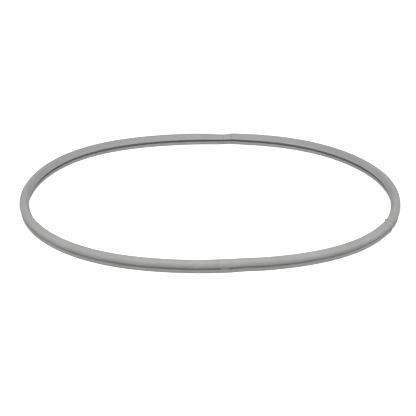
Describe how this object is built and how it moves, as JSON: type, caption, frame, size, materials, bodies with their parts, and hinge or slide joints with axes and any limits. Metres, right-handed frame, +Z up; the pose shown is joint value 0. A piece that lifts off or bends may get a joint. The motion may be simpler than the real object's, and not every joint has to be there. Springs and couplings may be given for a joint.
{
  "type": "pressure cooker sealing ring",
  "caption": "Round silicone lid seal for a stovetop pressure cooker: a domed hood over a narrower sealing lip, with a groove between them that opens inwards.",
  "frame": {"origin": "centre of the ring, in the plane that its sealing lip rests on", "axes": "+Z up along the ring's axis, from the sealing lip to the hood; +Y towards the back splice, which is 6 degrees from it; +X to the right"},
  "size_m": [0.26, 0.26, 0.008],
  "materials": {
    "silicone": "satin",
    "splice_silicone": "satin"
  },
  "bodies": {
    "root": {"strip_left": "silicone", "strip_front_right": "silicone", "strip_back_right": "silicone", "splice_back": "splice_silicone", "splice_front": "splice_silicone", "splice_right": "splice_silicone"}
  },
  "joints": []
}
